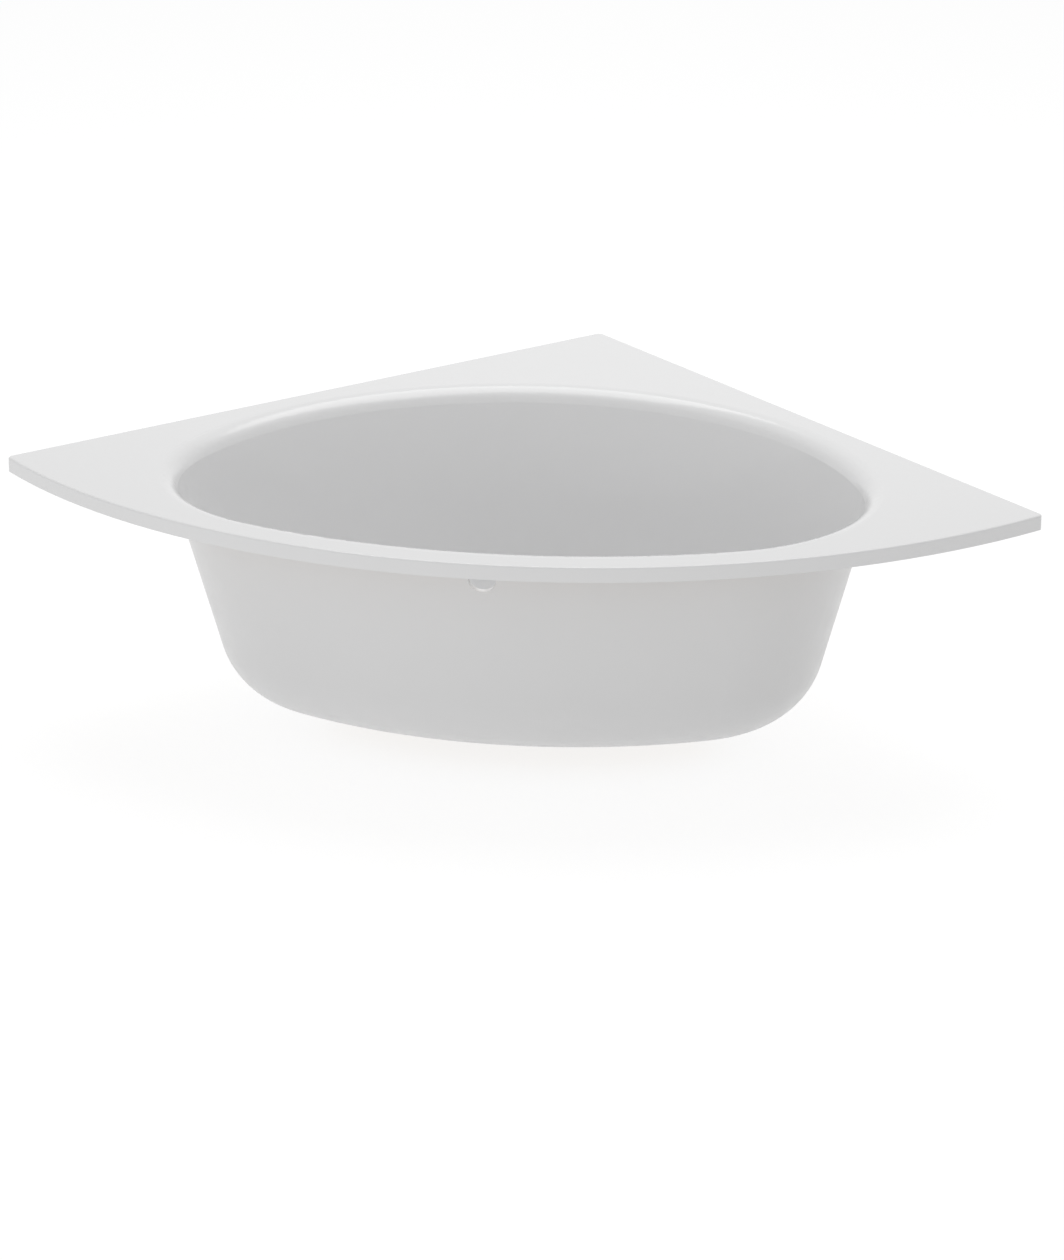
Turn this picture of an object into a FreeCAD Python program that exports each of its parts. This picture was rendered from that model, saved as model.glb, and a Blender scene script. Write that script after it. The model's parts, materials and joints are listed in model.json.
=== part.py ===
import FreeCAD, Part
import math
import os
import Sketcher
from FreeCAD import Placement, Rotation, Vector

# Corner bathtub for a square room corner, in millimetres.
# Row frame: +Z up, X along the curved front, +Y towards the wall corner.
# The origin is on the floor under the middle of the bath's bounding box.
# Plan distances called "from the corner" run from the sharp wall corner of
# the rim straight towards the front, along the bath's line of symmetry.

SIZES = [
    # rim and deck
    ("side_length", 1400),            # each wall side of the rim, to the sharp corners
    ("front_arc_radius", 1316),       # plan radius of the bowed front
    ("rim_corner_radius", 12),        # upright corners of the rim
    ("rim_edge_radius", 4),           # top edge of the rim
    ("lip_depth", 28.5),              # turned-down edge of the rim
    ("acrylic", 5),                   # moulded sheet
    ("rim_roll", 38),                 # round from the deck down into the bowl
    # the bowl's mouth: an oval of four tangent arcs, set in from the rim
    ("wall_land", 109.6),             # deck left between the mouth and each wall
    ("front_land", 84.7),             # deck left between the mouth and the front
    ("mouth_side_radius", 337.5),
    ("mouth_back_turn", 20.158),       # degrees from the widest line to the back arc's ends
    # the bowl's floor: the same kind of oval, before its edge is rounded
    ("side_draft", 122.64),           # how far each wall leans in, rim to floor
    ("front_draft", 103.15),
    ("back_draft", 124.1),
    ("floor_setback", 9.48),          # floor's widest line behind the mouth's
    ("floor_side_radius", 226),
    ("bowl_depth", 450),
    ("floor_fillet", 153),
    # glass-fibre reinforcement sprayed on the bowl's outside
    ("skin_thickness", 4),
    ("bond_line", 0.3),
    ("skin_rise", 6),                 # skin's edge above the roll's lower end
    # holes
    ("overflow_hole_radius", 26),
    ("overflow_drop", 60),            # rim top to the hole's centre, on the wall
    ("waste_hole_radius", 26),
    ("waste_forward", 16.2),          # middle of the floor to the waste
    # base board bonded under the floor
    ("board_thickness", 18),
    ("board_margin", 165),            # board edge inside the floor oval
    ("trap_room", 10),                # way through the board round the trap
    ("spindle_hole_radius", 8),
    # timber under the rim
    ("batten_width", 40),
    ("batten_thickness", 18),
    ("batten_corner_gap", 60),
    ("batten_tip_gap", 60),
    ("front_batten_width", 35),
    ("front_batten_end", 6.8),        # degrees left between the batten and the tip
    ("corner_board_clearance", 61),  # board's front edge to the mouth
    ("corner_board_gap", 2),
    # leg rails
    ("rail_clearance", 32.7),         # floor to the rail, feet screwed right in
    ("rail_width", 40),
    ("rail_height", 20),
    ("rail_wall", 2),
    ("rail_overhang", 35),            # rail beyond its feet's axes
    ("screw_radius", 2.5),
    ("screw_head_radius", 4.5),
    ("screw_head_height", 2.5),
    ("screw_bite", 13),               # shank inside the board
    ("screw_play", 0.1),
    ("screw_first", 50),              # front foot's axis to the first screw
    ("screw_inset", 83.4),            # last screw to the board's back edge
    # feet
    ("foot_front_lead", 30),          # waste to the front feet
    ("foot_front_offset", 100),       # middle of the bath to a front foot
    ("foot_back_inset", 63.4),        # floor's back edge to the back feet
    ("foot_side_inset", 238.55),      # floor's side edge to a back foot
    ("spindle_radius", 6),
    ("thread_play", 0.1),
    ("spindle_headroom", 1),
    ("spindle_chamfer", 1),
    ("spindle_seat", 5),
    ("collar_circumradius", 9.8),
    ("collar_height", 6),
    ("pad_radius", 22),
    ("pad_height", 14),
    ("pad_rim", 4),
    ("pad_boss_radius", 12),
    ("nut_circumradius", 10.4),
    ("nut_height", 10),
    ("lock_nut_height", 6),
    # waste and plug
    ("gasket_thickness", 1.5),
    ("flange_gasket_radius", 33),
    ("flange_radius", 35),
    ("flange_plate", 2.5),
    ("flange_bevel", 1.5),
    ("seat_radius", 24),
    ("tail_radius", 23.5),
    ("tail_bore", 20.5),
    ("tail_drop", 35),                # bowl floor to the tail's end
    ("spider_drop", 12),              # bowl floor to the underside of the cross
    ("spider_height", 6),
    ("spider_arm", 4),
    ("spider_hub", 10),
    ("cartridge_radius", 7),
    ("cartridge_floor", 2),
    ("cartridge_drop", 34),           # bowl floor to the cartridge's end
    ("stem_radius", 4),
    ("stem_play", 0.1),
    ("stem_drop", 30),                # bowl floor to the stem's end
    ("plug_radius", 30),
    ("plug_edge", 2),
    ("plug_crown", 5),
    ("plug_edge_round", 1.5),
    ("seal_inner_radius", 24.8),
    ("seal_outer_radius", 28),
    ("seal_height", 1.5),
    # trap
    ("trap_gasket_radius", 44),
    ("trap_radius", 46),
    ("trap_wall", 3),
    ("trap_top", 4),
    ("trap_bevel", 6),
    ("trap_clearance", 9),            # floor to the trap
    ("dip_radius", 30),
    ("dip_wall", 2),
    ("dip_clearance", 9),             # trap's bottom to the dip tube
    ("outlet_height", 38),            # floor to the outlet's axis
    ("spigot_radius", 23.5),
    ("spigot_end", 75),               # trap's axis to the spigot's end
    ("socket_start", 52),             # trap's axis to the pipe's stop
    ("socket_play", 0.2),
    ("outlet_bore", 17),
    ("pipe_radius", 20),
    ("pipe_wall", 1.8),
    ("pipe_overhang", 81.6),          # board's back edge to the pipe's free end
    ("bell_radius", 23.5),
    ("bell_bore", 20.3),
    ("bell_depth", 40),
    ("outlet_seal_width", 4),
    ("outlet_nut_circumradius", 29),
    ("outlet_nut_start", 58),
    ("outlet_nut_lip", 4),
    ("inlet_height", 30),             # floor to the overflow inlet's axis
    ("inlet_radius", 13),
    ("inlet_bore", 10),
    ("inlet_end", 60),                # trap's axis to the inlet's end
    ("inlet_seal", 2),
    ("cap_circumradius", 17),
    ("cap_depth", 12),
    ("cap_face", 3),
]

OUTER_DROP = "sizes.acrylic"
SKIN_IN_DROP = "(sizes.acrylic + sizes.bond_line)"
SKIN_OUT_DROP = "(sizes.acrylic + sizes.bond_line + sizes.skin_thickness)"

MOUTH = "mouth"
FLOOR = "floor"


def arc_radius(which, end):
    """Formula for the end arc of an oval that touches its side arcs at a given reach."""
    words = {"w": which, "e": end, "s": "sizes.%s_side_radius" % which}
    return ("(%(w)s_run ^ 2 + %(w)s_%(e)s_reach ^ 2 - %(s)s ^ 2)"
            " / (2 * (%(w)s_%(e)s_reach - %(s)s))" % words)


LEVELS = [
    ("rail_bottom", "sizes.rail_clearance"),
    ("rail_top", "rail_bottom + sizes.rail_height"),
    ("board_top", "rail_top + sizes.board_thickness"),
    ("shell_bottom", "board_top + sizes.skin_thickness + sizes.bond_line"),
    ("floor_top", "shell_bottom + sizes.acrylic"),
    ("rim_top", "floor_top + sizes.bowl_depth"),
    ("deck_under", "rim_top - sizes.acrylic"),
    ("lip_bottom", "rim_top - sizes.lip_depth"),
    ("tip", "sizes.side_length / sqrt(2)"),
    ("arc_rise", "sqrt(sizes.front_arc_radius ^ 2 - tip ^ 2)"),
    ("front_arc_centre", "tip - arc_rise"),
    ("plan_depth", "front_arc_centre + sizes.front_arc_radius"),
    ("corner_cut", "sizes.rim_corner_radius * (sqrt(2) - 1)"),
    ("corner_place", "(plan_depth + corner_cut) / 2"),
    ("mouth_front_radius", "sizes.front_arc_radius - sizes.front_land"),
    ("mouth_front", "front_arc_centre + mouth_front_radius"),
    ("mouth_inset", "sqrt(2) * (sizes.wall_land + sizes.mouth_side_radius)"),
    ("mouth_pull", "mouth_front_radius - sizes.mouth_side_radius"),
    ("mouth_centre", "(mouth_inset + front_arc_centre"
                     " + sqrt(2 * mouth_pull ^ 2 - (mouth_inset - front_arc_centre) ^ 2)) / 2"),
    ("mouth_run", "mouth_centre - mouth_inset"),
    ("mouth_half_width", "mouth_run + sizes.mouth_side_radius"),
    ("mouth_front_reach", "mouth_front - mouth_centre"),
    ("mouth_back_turn", "sizes.mouth_back_turn * 1 deg"),
    ("mouth_back_radius", "sizes.mouth_side_radius + mouth_run / cos(mouth_back_turn)"),
    ("mouth_back_reach", "mouth_back_radius - mouth_run * tan(mouth_back_turn)"),
    ("corner_land", "mouth_centre - mouth_back_reach"),
    ("floor_half_width", "mouth_half_width - sizes.side_draft"),
    ("floor_run", "floor_half_width - sizes.floor_side_radius"),
    ("floor_centre", "mouth_centre - sizes.floor_setback"),
    ("floor_front", "mouth_front - sizes.front_draft"),
    ("floor_back", "corner_land + sizes.back_draft"),
    ("floor_front_reach", "floor_front - floor_centre"),
    ("floor_back_reach", "floor_centre - floor_back"),
    ("floor_front_radius", arc_radius(FLOOR, "front")),
    ("floor_back_radius", arc_radius(FLOOR, "back")),
    ("wall_slope", "sizes.side_draft / sizes.bowl_depth"),
    ("front_slope", "sizes.front_draft / sizes.bowl_depth"),
    ("overflow_from_corner", "mouth_front - sizes.overflow_drop * front_slope"),
    ("slope_length", "sqrt(1 + front_slope ^ 2)"),
    ("waste_centre", "(floor_front + floor_back) / 2 + sizes.waste_forward"),
    ("waste_place", "corner_place - waste_centre"),
    ("flange_under", "floor_top + sizes.gasket_thickness"),
    ("flange_top", "flange_under + sizes.flange_plate"),
    ("plug_under", "flange_top + sizes.seal_height"),
    ("tail_bottom", "floor_top - sizes.tail_drop"),
    ("trap_top_face", "board_top - sizes.gasket_thickness"),
    ("spindle_top", "board_top - sizes.spindle_headroom"),
    ("nut_bottom", "rail_top - sizes.rail_wall - sizes.nut_height"),
    ("board_back", "floor_back + sizes.board_margin"),
    ("notch_half_width", "sizes.trap_radius + sizes.trap_room"),
    ("pipe_end", "waste_centre - board_back + sizes.pipe_overhang"),
    ("corner_board_front", "corner_land - sizes.corner_board_clearance"),
    ("front_batten_half_angle", "asin(tip / sizes.front_arc_radius)"
                                " - sizes.front_batten_end * 1 deg"),
    ("skin_top", "rim_top - sizes.rim_roll + sizes.skin_rise"),
    ("foot_front", "waste_centre + sizes.foot_front_lead"),
    ("foot_back", "floor_back + sizes.foot_back_inset"),
    ("foot_front_offset", "sizes.foot_front_offset"),
    ("foot_back_offset", "floor_half_width - sizes.foot_side_inset"),
    ("rail_spread", "foot_back_offset - foot_front_offset"),
    ("rail_run", "foot_front - foot_back"),
    ("rail_span", "sqrt(rail_spread ^ 2 + rail_run ^ 2)"),
    ("screw_last", "(foot_front - board_back - sizes.screw_inset) * rail_span / rail_run"),
]

CUT_REACH = 40        # how far a hole's cutter stands out on both sides of a wall
ON_EDGE = 0.01        # an edge this near to a level or an arc lies on it
TURN_Y = Rotation(Vector(1, 0, 0), -90)    # turns an upright cylinder to point along +Y
TURN_MINUS_X = Rotation(Vector(0, 1, 0), -90)
SIDES = {"left": -1, "right": 1}
ENDS = ("front", "back")
SCREWS_PER_RAIL = 3

doc = FreeCAD.newDocument("corner_bath")
subparts = []


def make_sheet(name, rows, formula=False):
    """Writes aliased rows into a spreadsheet."""
    sheet = doc.addObject("Spreadsheet::Sheet", name)
    for row, (alias, value) in enumerate(rows, start=1):
        cell = "B%d" % row
        sheet.set("A%d" % row, alias)
        sheet.set(cell, "=" + value if formula else str(value))
        sheet.setAlias(cell, alias)
        if formula:
            doc.recompute()
    doc.recompute()
    return sheet


sizes = make_sheet("sizes", SIZES)
levels = make_sheet("levels", LEVELS, formula=True)


def number(expression):
    """Value of an expression of the two sheets, in millimetres or degrees."""
    value = sizes.evalExpression(str(expression))
    return float(getattr(value, "Value", value))


def keep(thing, label):
    """Marks an object as a sub-part under the name of its file."""
    thing.Label = label
    subparts.append(thing)
    return thing


def bind(thing, **expressions):
    """Binds properties to expressions. Two underscores stand for a dot."""
    for key, expression in expressions.items():
        thing.setExpression(key.replace("__", "."), str(expression))


def place(thing, x=0, y=0, z=0, turn=Rotation()):
    """Puts an object at bound coordinates, turned by a fixed rotation."""
    thing.Placement = Placement(Vector(number(x), number(y), number(z)), turn)
    bind(thing, Placement__Base__x=x, Placement__Base__y=y, Placement__Base__z=z)


# --- bodies, sketches and features -------------------------------------------------


def make_body(label, x=0, y="levels.corner_place", turn=Rotation()):
    """A body whose own origin is at the wall corner unless another place is given."""
    body = doc.addObject("PartDesign::Body", label)
    place(body, x, y, 0, turn)
    return keep(body, label)


def new_sketch(body, name, role="XY_Plane", level=None):
    """An empty sketch on one of the body's origin planes, raised to a level."""
    plane = next(f for f in body.Origin.OriginFeatures if f.Role == role)
    sketch = body.newObject("Sketcher::SketchObject", name)
    sketch.AttachmentSupport = [(plane, "")]
    sketch.MapMode = "FlatFace"
    if level is not None:
        sketch.AttachmentOffset = Placement(Vector(0, 0, number(level)), Rotation())
        bind(sketch, AttachmentOffset__Base__z=level)
    return sketch


def dimension(sketch, expression, *constraint):
    """Adds a dimension whose value is bound to an expression."""
    index = sketch.addConstraint(Sketcher.Constraint(*constraint, number(expression)))
    sketch.setExpression("Constraints[%d]" % index, str(expression))


def pin(sketch, geometry, point, x, y):
    """Fixes a point of a sketch at bound coordinates."""
    for kind, axis, expression in (("DistanceX", -2, x), ("DistanceY", -1, y)):
        if expression == 0:
            sketch.addConstraint(Sketcher.Constraint("PointOnObject", geometry, point, axis))
        else:
            dimension(sketch, expression, kind, -1, 1, geometry, point)


def polygon(sketch, corners):
    """A closed polygon through bound corners."""
    points = [Vector(number(x), number(y), 0) for x, y in corners]
    count = len(points)
    for i in range(count):
        sketch.addGeometry(Part.LineSegment(points[i], points[(i + 1) % count]), False)
    for i in range(count):
        sketch.addConstraint(Sketcher.Constraint("Coincident", i, 2, (i + 1) % count, 1))
    for i, (x, y) in enumerate(corners):
        pin(sketch, i, 1, x, y)


def circles(sketch, rings):
    """Circles given as bound x, y and radius."""
    for x, y, radius in rings:
        centre = Vector(number(x), number(y), 0)
        index = sketch.addGeometry(Part.Circle(centre, Vector(0, 0, 1), number(radius)), False)
        pin(sketch, index, 3, x, y)
        dimension(sketch, radius, "Radius", index)


def oval_arcs(which, grow):
    """Centre height, radius and joints of the four arcs of the mouth or floor oval."""
    extra = number(grow)
    run = number("levels.%s_run" % which)
    centre = -number("levels.%s_centre" % which)
    side = number("sizes.%s_side_radius" % which) + extra
    front = number("levels.%s_front_radius" % which)
    back = number("levels.%s_back_radius" % which)
    front_centre = centre + front - number("levels.%s_front_reach" % which)
    back_centre = centre - back + number("levels.%s_back_reach" % which)
    joint_front = math.atan2(centre - front_centre, run)
    joint_back = math.atan2(centre - back_centre, run)
    return [
        (0, front_centre, front + extra, -math.pi - joint_front, joint_front),
        (run, centre, side, joint_front, joint_back),
        (0, back_centre, back + extra, joint_back, math.pi - joint_back),
        (-run, centre, side, math.pi - joint_back, math.pi - joint_front),
    ]


def oval_sketch(body, name, which, level, grow=0):
    """The mouth or floor oval at a level, grown outwards all round."""
    sketch = new_sketch(body, name, level=level)
    for x, y, radius, start, end in oval_arcs(which, grow):
        circle = Part.Circle(Vector(x, y, 0), Vector(0, 0, 1), radius)
        sketch.addGeometry(Part.ArcOfCircle(circle, start, end), False)
    front, right, back, left = range(4)
    for arc in range(4):
        sketch.addConstraint(Sketcher.Constraint("Tangent", arc, 2, (arc + 1) % 4, 1))
    for arc in (front, back):
        sketch.addConstraint(Sketcher.Constraint("PointOnObject", arc, 3, -2))
    dimension(sketch, "levels.%s_run" % which, "DistanceX", -1, 1, right, 3)
    dimension(sketch, "-levels.%s_centre" % which, "DistanceY", -1, 1, right, 3)
    for arc, part in ((front, "levels.%s_front"), (right, "sizes.%s_side"),
                      (back, "levels.%s_back"), (left, "sizes.%s_side")):
        radius = part % which + "_radius + %s" % grow
        dimension(sketch, radius, "Radius", arc)
    return sketch


def feature(body, kind, name, **settings):
    """Adds a feature to a body and recomputes it."""
    thing = body.newObject("PartDesign::" + kind, name)
    for key, value in settings.items():
        setattr(thing, key, value)
    doc.recompute()
    return thing


def pad(body, name, sketch, length, **settings):
    """Pads a sketch by a bound length."""
    thing = feature(body, "Pad", name, Profile=sketch, **settings)
    bind(thing, Length=length)
    doc.recompute()
    return thing


def pocket(body, name, sketch, length, **settings):
    """Cuts a sketch in by a bound length and makes sure that it removes material."""
    before = body.Shape.Volume
    thing = feature(body, "Pocket", name, Profile=sketch, **settings)
    bind(thing, Length=length)
    doc.recompute()
    if body.Shape.Volume >= before:
        raise ValueError(name + " cuts nothing")
    return thing


def loft(body, kind, name, top, bottom):
    """A ruled loft between two ovals."""
    return feature(body, kind, name, Profile=top, Sections=[bottom], Ruled=True)


def oval_edges(shape, which, level, grow):
    """Names of a shape's edges that lie at a level on the grown oval."""
    height = number(level)
    arcs = oval_arcs(which, grow)
    names = []
    for index, edge in enumerate(shape.Edges, start=1):
        middle = edge.valueAt((edge.FirstParameter + edge.LastParameter) / 2)
        flat = edge.BoundBox.ZLength < ON_EDGE and abs(middle.z - height) < ON_EDGE
        gaps = [abs(math.hypot(middle.x - x, middle.y - y) - r) for x, y, r, _, _ in arcs]
        if flat and min(gaps) < ON_EDGE:
            names.append("Edge%d" % index)
    return names


def fillet(body, name, base, edges, radius):
    """Rounds named edges by a bound radius."""
    thing = feature(body, "Fillet", name, Base=(base, edges), Radius=number(radius))
    bind(thing, Radius=radius)
    doc.recompute()
    return thing


def revolve(label, x, y, corners):
    """A body turned about its upright axis from a polygon of radius and height."""
    body = make_body(label, x, y)
    profile = new_sketch(body, label + "_profile", role="XZ_Plane")
    polygon(profile, corners)
    feature(body, "Revolution", label + "_turned", Profile=profile,
            ReferenceAxis=(profile, ["V_Axis"]), Angle=360)
    return body


# --- plain solids ----------------------------------------------------------------


def cylinder(name, radius, height, x=0, y=0, z=0, turn=Rotation(), kind="Part::Cylinder"):
    """A cylinder from its end's centre, upright unless turned."""
    thing = doc.addObject(kind, name)
    bind(thing, Radius=radius, Height=height)
    place(thing, x, y, z, turn)
    return thing


def prism(name, sides, circumradius, height, x=0, y=0, z=0, turn=Rotation()):
    """A regular prism from its end's centre, upright unless turned."""
    thing = doc.addObject("Part::Prism", name)
    thing.Polygon = sides
    bind(thing, Circumradius=circumradius, Height=height)
    place(thing, x, y, z, turn)
    return thing


def cut(name, base, *tools):
    """One solid less others."""
    for step, tool in enumerate(tools, start=1):
        thing = doc.addObject("Part::Cut", "%s_cut_%d" % (name, step))
        thing.Base = base
        thing.Tool = tool
        base = thing
    return base


def group(label, solids):
    """Separate solids that share one node."""
    thing = doc.addObject("Part::Compound", label)
    thing.Links = solids
    return keep(thing, label)


def ring(label, inner, outer, height, y, z):
    """A flat upright ring on the waste's axis."""
    solid = cylinder(label + "_solid", outer, height, 0, y, z)
    hole = cylinder(label + "_hole", inner, height, 0, y, z)
    return keep(cut(label, solid, hole), label)


# --- the moulded shell and its reinforcement -------------------------------------


def skin_grow(drop):
    """Outward step of a wall that lies a drop below the bowl's inner face."""
    return "(%s * (1 - levels.wall_slope))" % drop


def overflow_cutter(body):
    """Cuts the overflow hole square through the front wall."""
    hole = body.newObject("PartDesign::SubtractiveCylinder", "overflow_hole")
    y = "-levels.overflow_from_corner + %g / levels.slope_length" % CUT_REACH
    z = "levels.rim_top - sizes.overflow_drop + %g * levels.front_slope / levels.slope_length"
    place(hole, 0, y, z % CUT_REACH, Rotation(Vector(1, 0, 0), 90))
    bind(hole, Radius="sizes.overflow_hole_radius", Height=2 * CUT_REACH,
         Placement__Rotation__Angle="90 deg + atan(levels.front_slope)")
    doc.recompute()
    return hole


def waste_cutter(body):
    """Cuts the waste hole down through the floor."""
    hole = body.newObject("PartDesign::SubtractiveCylinder", "waste_hole")
    place(hole, 0, "-levels.waste_centre", "levels.floor_top - %g" % CUT_REACH)
    bind(hole, Radius="sizes.waste_hole_radius", Height=2 * CUT_REACH)
    doc.recompute()
    return hole


def make_shell():
    """Deck with its turned-down lip, and the bowl hanging from it."""
    body = make_body("bath_shell")
    outline = new_sketch(body, "deck_outline", level="levels.lip_bottom")
    tip = number("levels.tip")
    centre = -number("levels.front_arc_centre")
    radius = number("sizes.front_arc_radius")
    swing = math.asin(tip / radius)
    left, right, corner = Vector(-tip, -tip, 0), Vector(tip, -tip, 0), Vector(0, 0, 0)
    outline.addGeometry(Part.LineSegment(corner, left), False)
    front = Part.Circle(Vector(0, centre, 0), Vector(0, 0, 1), radius)
    downwards = -math.pi / 2
    outline.addGeometry(Part.ArcOfCircle(front, downwards - swing, downwards + swing), False)
    outline.addGeometry(Part.LineSegment(right, corner), False)
    for first, second in ((0, 1), (1, 2), (2, 0)):
        outline.addConstraint(Sketcher.Constraint("Coincident", first, 2, second, 1))
    outline.addConstraint(Sketcher.Constraint("Coincident", 0, 1, -1, 1))
    pin(outline, 0, 2, "-levels.tip", "-levels.tip")
    pin(outline, 2, 1, "levels.tip", "-levels.tip")
    dimension(outline, "sizes.front_arc_radius", "Radius", 1)
    deck = pad(body, "deck", outline, "sizes.lip_depth")

    upright = ["Edge%d" % (i + 1) for i, e in enumerate(deck.Shape.Edges)
               if e.BoundBox.ZLength > ON_EDGE]
    rounded = fillet(body, "deck_corners", deck, upright, "sizes.rim_corner_radius")
    bottom = min(range(len(rounded.Shape.Faces)), key=lambda i: rounded.Shape.Faces[i].CenterOfMass.z)
    hollow = feature(body, "Thickness", "deck_sheet", Base=(rounded, ["Face%d" % (bottom + 1)]),
                     Value=number("sizes.acrylic"), Reversed=True)
    bind(hollow, Value="sizes.acrylic")
    doc.recompute()

    grow = skin_grow(OUTER_DROP)
    top = oval_sketch(body, "outer_mouth", MOUTH, "levels.deck_under", grow)
    low = oval_sketch(body, "outer_floor", FLOOR, "levels.shell_bottom", grow)
    outer = loft(body, "AdditiveLoft", "outer_bowl", top, low)
    edges = oval_edges(outer.Shape, MOUTH, "levels.deck_under", grow)
    fillet(body, "outer_roll", outer, edges, "sizes.rim_roll - sizes.acrylic")

    top = oval_sketch(body, "inner_mouth", MOUTH, "levels.rim_top")
    low = oval_sketch(body, "inner_floor", FLOOR, "levels.floor_top")
    inner = loft(body, "SubtractiveLoft", "inner_bowl", top, low)
    edges = oval_edges(inner.Shape, FLOOR, "levels.floor_top", 0)
    inner = fillet(body, "inner_floor_round", inner, edges, "sizes.floor_fillet")
    edges = oval_edges(inner.Shape, MOUTH, "levels.rim_top", 0)
    inner = fillet(body, "inner_roll", inner, edges, "sizes.rim_roll")
    edges = oval_edges(inner.Shape, FLOOR, "levels.shell_bottom", grow)
    radius = "sizes.floor_fillet + sizes.acrylic"
    inner = fillet(body, "outer_floor_round", inner, edges, radius)

    rim_top = number("levels.rim_top")
    outside = ["Edge%d" % (i + 1) for i, e in enumerate(inner.Shape.Edges)
               if e.BoundBox.ZMin > rim_top - ON_EDGE and near_outline(e)]
    fillet(body, "rim_edge", inner, outside, "sizes.rim_edge_radius")
    overflow_cutter(body)
    waste_cutter(body)
    return body


def near_outline(edge):
    """True where an edge of the deck lies on the rim's outline, not round the bowl."""
    middle = edge.valueAt((edge.FirstParameter + edge.LastParameter) / 2)
    centre = -number("levels.front_arc_centre")
    reach = number("sizes.front_arc_radius") - math.hypot(middle.x, middle.y - centre)
    wall = -(middle.y + abs(middle.x)) / math.sqrt(2)
    return min(abs(reach), abs(wall)) < number("sizes.rim_corner_radius") / 2


def make_reinforcement():
    """Glass-fibre skin that backs the bowl's wall and floor."""
    body = make_body("bowl_reinforcement")
    out_grow = skin_grow(SKIN_OUT_DROP)
    level = "levels.rim_top - " + SKIN_OUT_DROP
    top = oval_sketch(body, "skin_outer_mouth", MOUTH, level, out_grow)
    low = oval_sketch(body, "skin_outer_floor", FLOOR, "levels.board_top", out_grow)
    loft(body, "AdditiveLoft", "skin_outer", top, low)
    trim = new_sketch(body, "skin_trim", level="levels.skin_top")
    half, far = "levels.tip", "-levels.plan_depth"
    polygon(trim, [("-" + half, 0), ("-" + half, far), (half, far), (half, 0)])
    pocket(body, "skin_top", trim, "levels.rim_top - levels.skin_top", Reversed=True)
    in_grow = skin_grow(SKIN_IN_DROP)
    top = oval_sketch(body, "skin_inner_mouth", MOUTH, "levels.rim_top - " + SKIN_IN_DROP, in_grow)
    level = "levels.floor_top - " + SKIN_IN_DROP
    low = oval_sketch(body, "skin_inner_floor", FLOOR, level, in_grow)
    inner = loft(body, "SubtractiveLoft", "skin_inner", top, low)
    edges = oval_edges(inner.Shape, FLOOR, level, in_grow)
    inner = fillet(body, "skin_inner_round", inner, edges, "sizes.floor_fillet + " + SKIN_IN_DROP)
    edges = oval_edges(inner.Shape, FLOOR, "levels.board_top", out_grow)
    fillet(body, "skin_outer_round", inner, edges, "sizes.floor_fillet + " + SKIN_OUT_DROP)
    overflow_cutter(body)
    waste_cutter(body)
    return body


# --- timber -------------------------------------------------------------------------


def foot_x(side, end):
    """Place of a foot across the bath."""
    return "%d * levels.foot_%s_offset" % (SIDES[side], end)


def foot_y(end):
    """Place of a foot from the wall corner, towards the front."""
    return "-levels.foot_%s" % end


def screw_along(index):
    """Place of a screw along its rail, from the front foot's axis."""
    return "(sizes.screw_first + %d * (levels.screw_last - sizes.screw_first) / %d)" % (
        index, SCREWS_PER_RAIL - 1)


def screw_places():
    """Side and place, from the wall corner, of each screw along the splayed rails."""
    places = []
    for side, hand in SIDES.items():
        for i in range(SCREWS_PER_RAIL):
            along = screw_along(i)
            x = "%s + %d * %s * levels.rail_spread / levels.rail_span"
            y = "%s + %s * levels.rail_run / levels.rail_span"
            places.append((side, x % (foot_x(side, "front"), hand, along),
                           y % (foot_y("front"), along)))
    return places


def make_base_board():
    """Board under the floor, open at the back for the trap and its pipe."""
    body = make_body("base_board")
    outline = oval_sketch(body, "board_outline", FLOOR, "levels.rail_top", "-sizes.board_margin")
    pad(body, "board", outline, "sizes.board_thickness")
    well = new_sketch(body, "trap_well", level="levels.board_top")
    circles(well, [(0, "-levels.waste_centre", "levels.notch_half_width")])
    pocket(body, "trap_well_cut", well, "sizes.board_thickness")
    notch = new_sketch(body, "pipe_notch", level="levels.board_top")
    half = "levels.notch_half_width"
    back = "-levels.waste_centre + levels.pipe_end"
    polygon(notch, [("-" + half, back), ("-" + half, "-levels.waste_centre"),
                    (half, "-levels.waste_centre"), (half, back)])
    pocket(body, "pipe_notch_cut", notch, "sizes.board_thickness")
    spindles = new_sketch(body, "spindle_holes", level="levels.board_top")
    circles(spindles, [(foot_x(side, "front"), foot_y("front"), "sizes.spindle_hole_radius")
                       for side in SIDES])
    pocket(body, "spindle_holes_cut", spindles, "sizes.board_thickness")
    pilots = new_sketch(body, "pilot_holes", level="levels.rail_top")
    radius = "sizes.screw_radius + sizes.screw_play"
    circles(pilots, [(x, y, radius) for _, x, y in screw_places()])
    pocket(body, "pilot_holes_cut", pilots, "sizes.screw_bite + sizes.screw_play", Reversed=True)
    return body


def make_wall_batten(side):
    """Straight timber inside the lip along one wall."""
    hand = SIDES[side]
    turn = Rotation(Vector(0, 0, 1), -90 + 45 * hand)
    body = make_body("wall_batten_" + side, turn=turn)
    outline = new_sketch(body, side + "_batten_outline",
                         level="levels.deck_under - sizes.batten_thickness")
    start = "sizes.batten_corner_gap"
    end = "sizes.side_length - sizes.batten_tip_gap"
    near = "%d * sizes.acrylic" % -hand
    far = "%d * (sizes.acrylic + sizes.batten_width)" % -hand
    polygon(outline, [(start, near), (start, far), (end, far), (end, near)])
    pad(body, side + "_batten", outline, "sizes.batten_thickness")


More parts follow.
